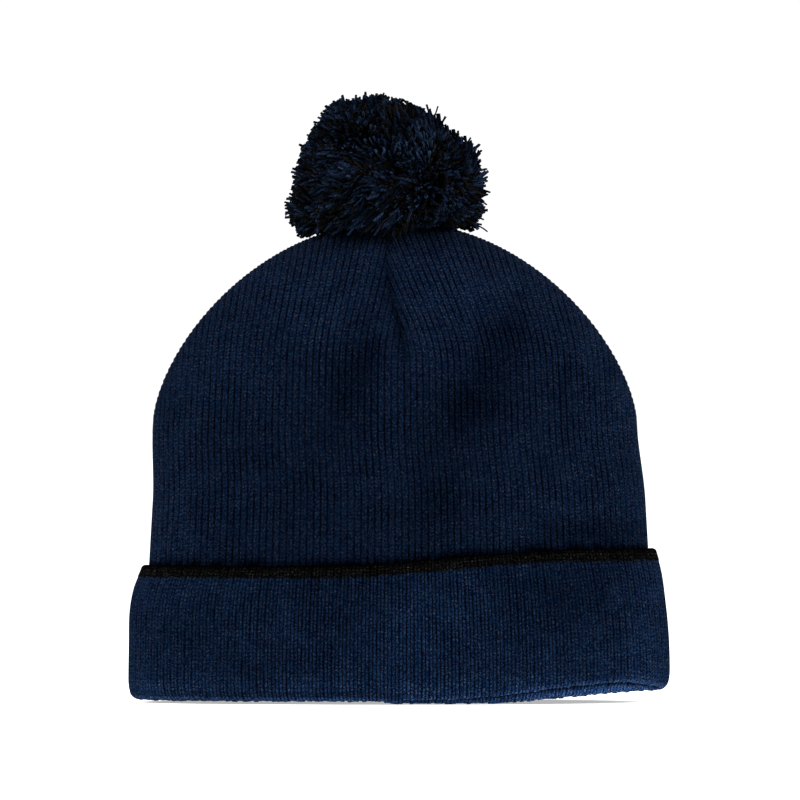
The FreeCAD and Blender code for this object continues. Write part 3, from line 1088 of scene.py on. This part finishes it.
def make_pom(tufts, strands_each):
    """The navy and the black strands, mixed tuft by tuft."""
    lines, tuft, astray = strand_lines(tufts, strands_each)
    share_navy = np.clip(0.57 + 0.40 * random.normal(size=tufts), 0.04, 0.97)
    navy = random.random(len(lines)) < share_navy[tuft]
    bright = random.uniform(0.6, 1.35, tufts)[tuft] * random.uniform(0.65, 1.35, len(lines))
    # painted shade: strands far from their tuft's middle are darker, as in the shade between tufts
    bright = bright * (1.25 - 0.55 * np.clip(astray / 0.15, 0, 1))
    radius = strand_radius * random.uniform(0.75, 1.3, len(lines))
    stray = stray_lines()
    navy_strands = strands_mesh(
        "pom_strands_navy",
        np.concatenate([lines[navy], stray]),
        np.concatenate([radius[navy], np.full(len(stray), stray_radius)]),
        np.concatenate([bright[navy], np.ones(len(stray))]),
        navy_yarn,
    )
    black_strands = strands_mesh("pom_strands_black", lines[~navy], radius[~navy], bright[~navy], black_yarn)
    return navy_strands, black_strands


# ---- build the pieces


def stand_in(piece, node, body):
    """Puts a finished piece in its CAD node's place."""
    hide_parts(node)
    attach(piece, body)


stand_in(make_shell(), "knit_shell", "hat")
stand_in(cuff_mesh("cuff_fold", navy_cuff, cuff_rows, cuff_shade), "cuff_band", "hat")
edge = cuff_mesh("cuff_edge", black_knit, tipping_rows, tipping_shade)
stand_in(edge, "cuff_tipping", "hat")

pom_navy, pom_black = make_pom(tuft_count, strands_per_tuft)
stand_in(pom_navy, "pom_yarn_navy", "pom")
stand_in(pom_black, "pom_yarn_black", "pom")
for piece in (pom_navy, pom_black):
    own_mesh(piece)

for name, dart_ridge in make_dart_seams():
    stand_in(dart_ridge, name.replace("ridge", "seam"), "hat")
stand_in(make_back_seam(*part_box("back_seam")), "back_seam", "hat")

label = make_label(label_low, label_high)
stand_in(label, "care_label", "hat")

threads = ("crown_gather_thread", "anchor_stitches", "tie_thread", "shank_knot", "pom_tie", "label_stitching")
for node in threads:
    for slot in frame["nodes"][node].material_slots:
        slot.material = label_thread if node == "label_stitching" else navy_thread


# ---- floor, light and camera

view_height = 131.4 * mm
view_width = 348 * mm
camera_distance = 5.0
sensor_width = 36  # in millimetres, as Blender counts it
floor_reach = 40.0

floor_material, floor_maths = start_material("pale_floor", roughness=0.9)
floor_inputs = floor_maths.shader.inputs
floor_inputs["Base Color"].default_value = (0.9, 0.9, 0.9, 1)
floor_inputs["Emission Color"].default_value = (1, 1, 1, 1)
floor_inputs["Emission Strength"].default_value = 0.45
corners = [(-1, -1, 0), (1, -1, 0), (1, 1, 0), (-1, 1, 0)]
floor = new_object("floor", np.array(corners) * floor_reach, [(0, 1, 2, 3)], floor_material)

world = bpy.data.worlds.new("studio")
world.use_nodes = True
background = world.node_tree.nodes["Background"]
background.inputs["Color"].default_value = (1, 1, 1, 1)
background.inputs["Strength"].default_value = 1.05
bpy.context.scene.world = world


def area_light(name, place, target, size, power):
    data = bpy.data.lights.new(name, "AREA")
    data.shape = "DISK"
    data.size = size
    data.energy = power
    made = in_scene(name, data)
    made.location = place
    way = Vector(target) - Vector(place)
    made.rotation_euler = way.to_track_quat("-Z", "Y").to_euler()


middle_of_hat = (0, 0, 0.12)
area_light("left", (-2.0, -1.2, 1.1), middle_of_hat, 0.9, 86)
area_light("right", (2.0, -1.2, 0.9), middle_of_hat, 0.9, 92)

camera_data = bpy.data.cameras.new("camera")
camera_data.sensor_width = sensor_width
camera_data.lens = sensor_width * camera_distance / view_width
camera_data.clip_start = 0.1
camera_data.clip_end = 100
camera = in_scene("camera", camera_data)
camera.location = (0.4 * mm, -camera_distance, view_height)
camera.rotation_euler = (math.pi / 2, 0, 0)
bpy.context.scene.camera = camera
bpy.context.scene.view_settings.view_transform = "Standard"
